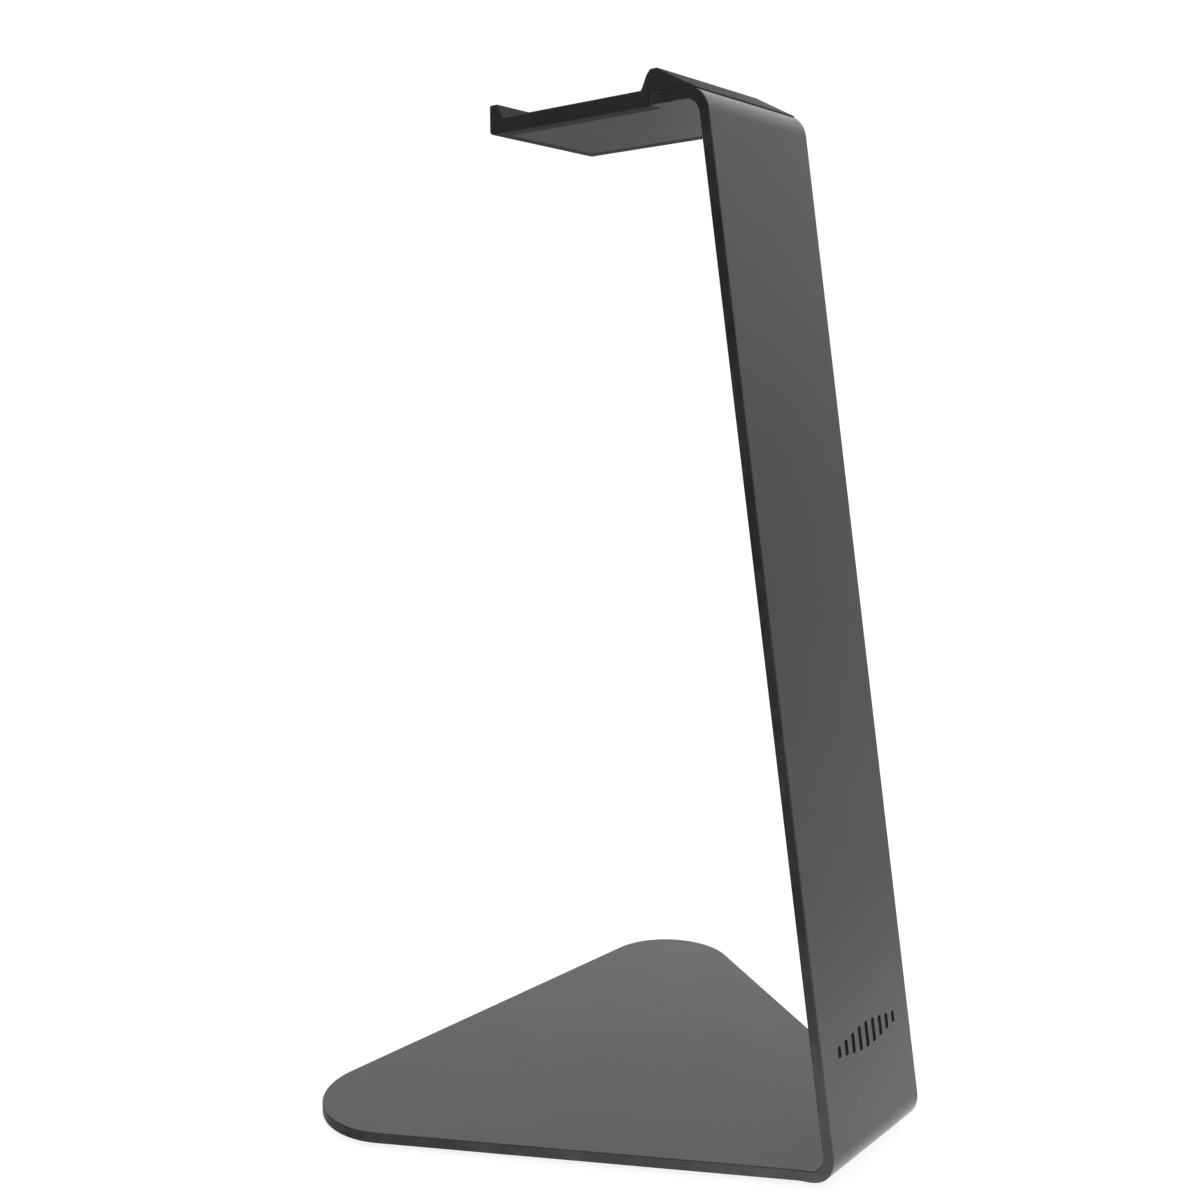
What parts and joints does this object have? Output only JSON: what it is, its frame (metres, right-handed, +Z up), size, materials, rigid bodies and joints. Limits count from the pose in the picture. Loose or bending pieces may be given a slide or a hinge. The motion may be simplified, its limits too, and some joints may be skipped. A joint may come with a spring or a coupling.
{
  "type": "headphone stand",
  "caption": "Headphone desk stand bent from steel plate: flared rounded base, leaning upright and a short level arm topped by a silicone headband cradle.",
  "frame": {"origin": "on the desk, under the middle of the stand's bounding box", "axes": "+Z up; the base and the arm reach towards +Y from the upright, whose outer face and mark face -Y; +X is to the right seen from the front, across the plane of symmetry"},
  "size_m": [0.1642, 0.1354, 0.275],
  "materials": {
    "powder_coat": "satin dark grey powder coat with a very fine grain",
    "silicone": "matte black moulded silicone",
    "foam_rubber": "dull black foam rubber",
    "adhesive": "translucent adhesive film"
  },
  "bodies": {
    "root": {"stand_plate": "powder_coat", "headband_cradle": "silicone", "cradle_adhesive": "adhesive", "base_pad": "foam_rubber", "base_pad_adhesive": "adhesive"}
  },
  "joints": []
}
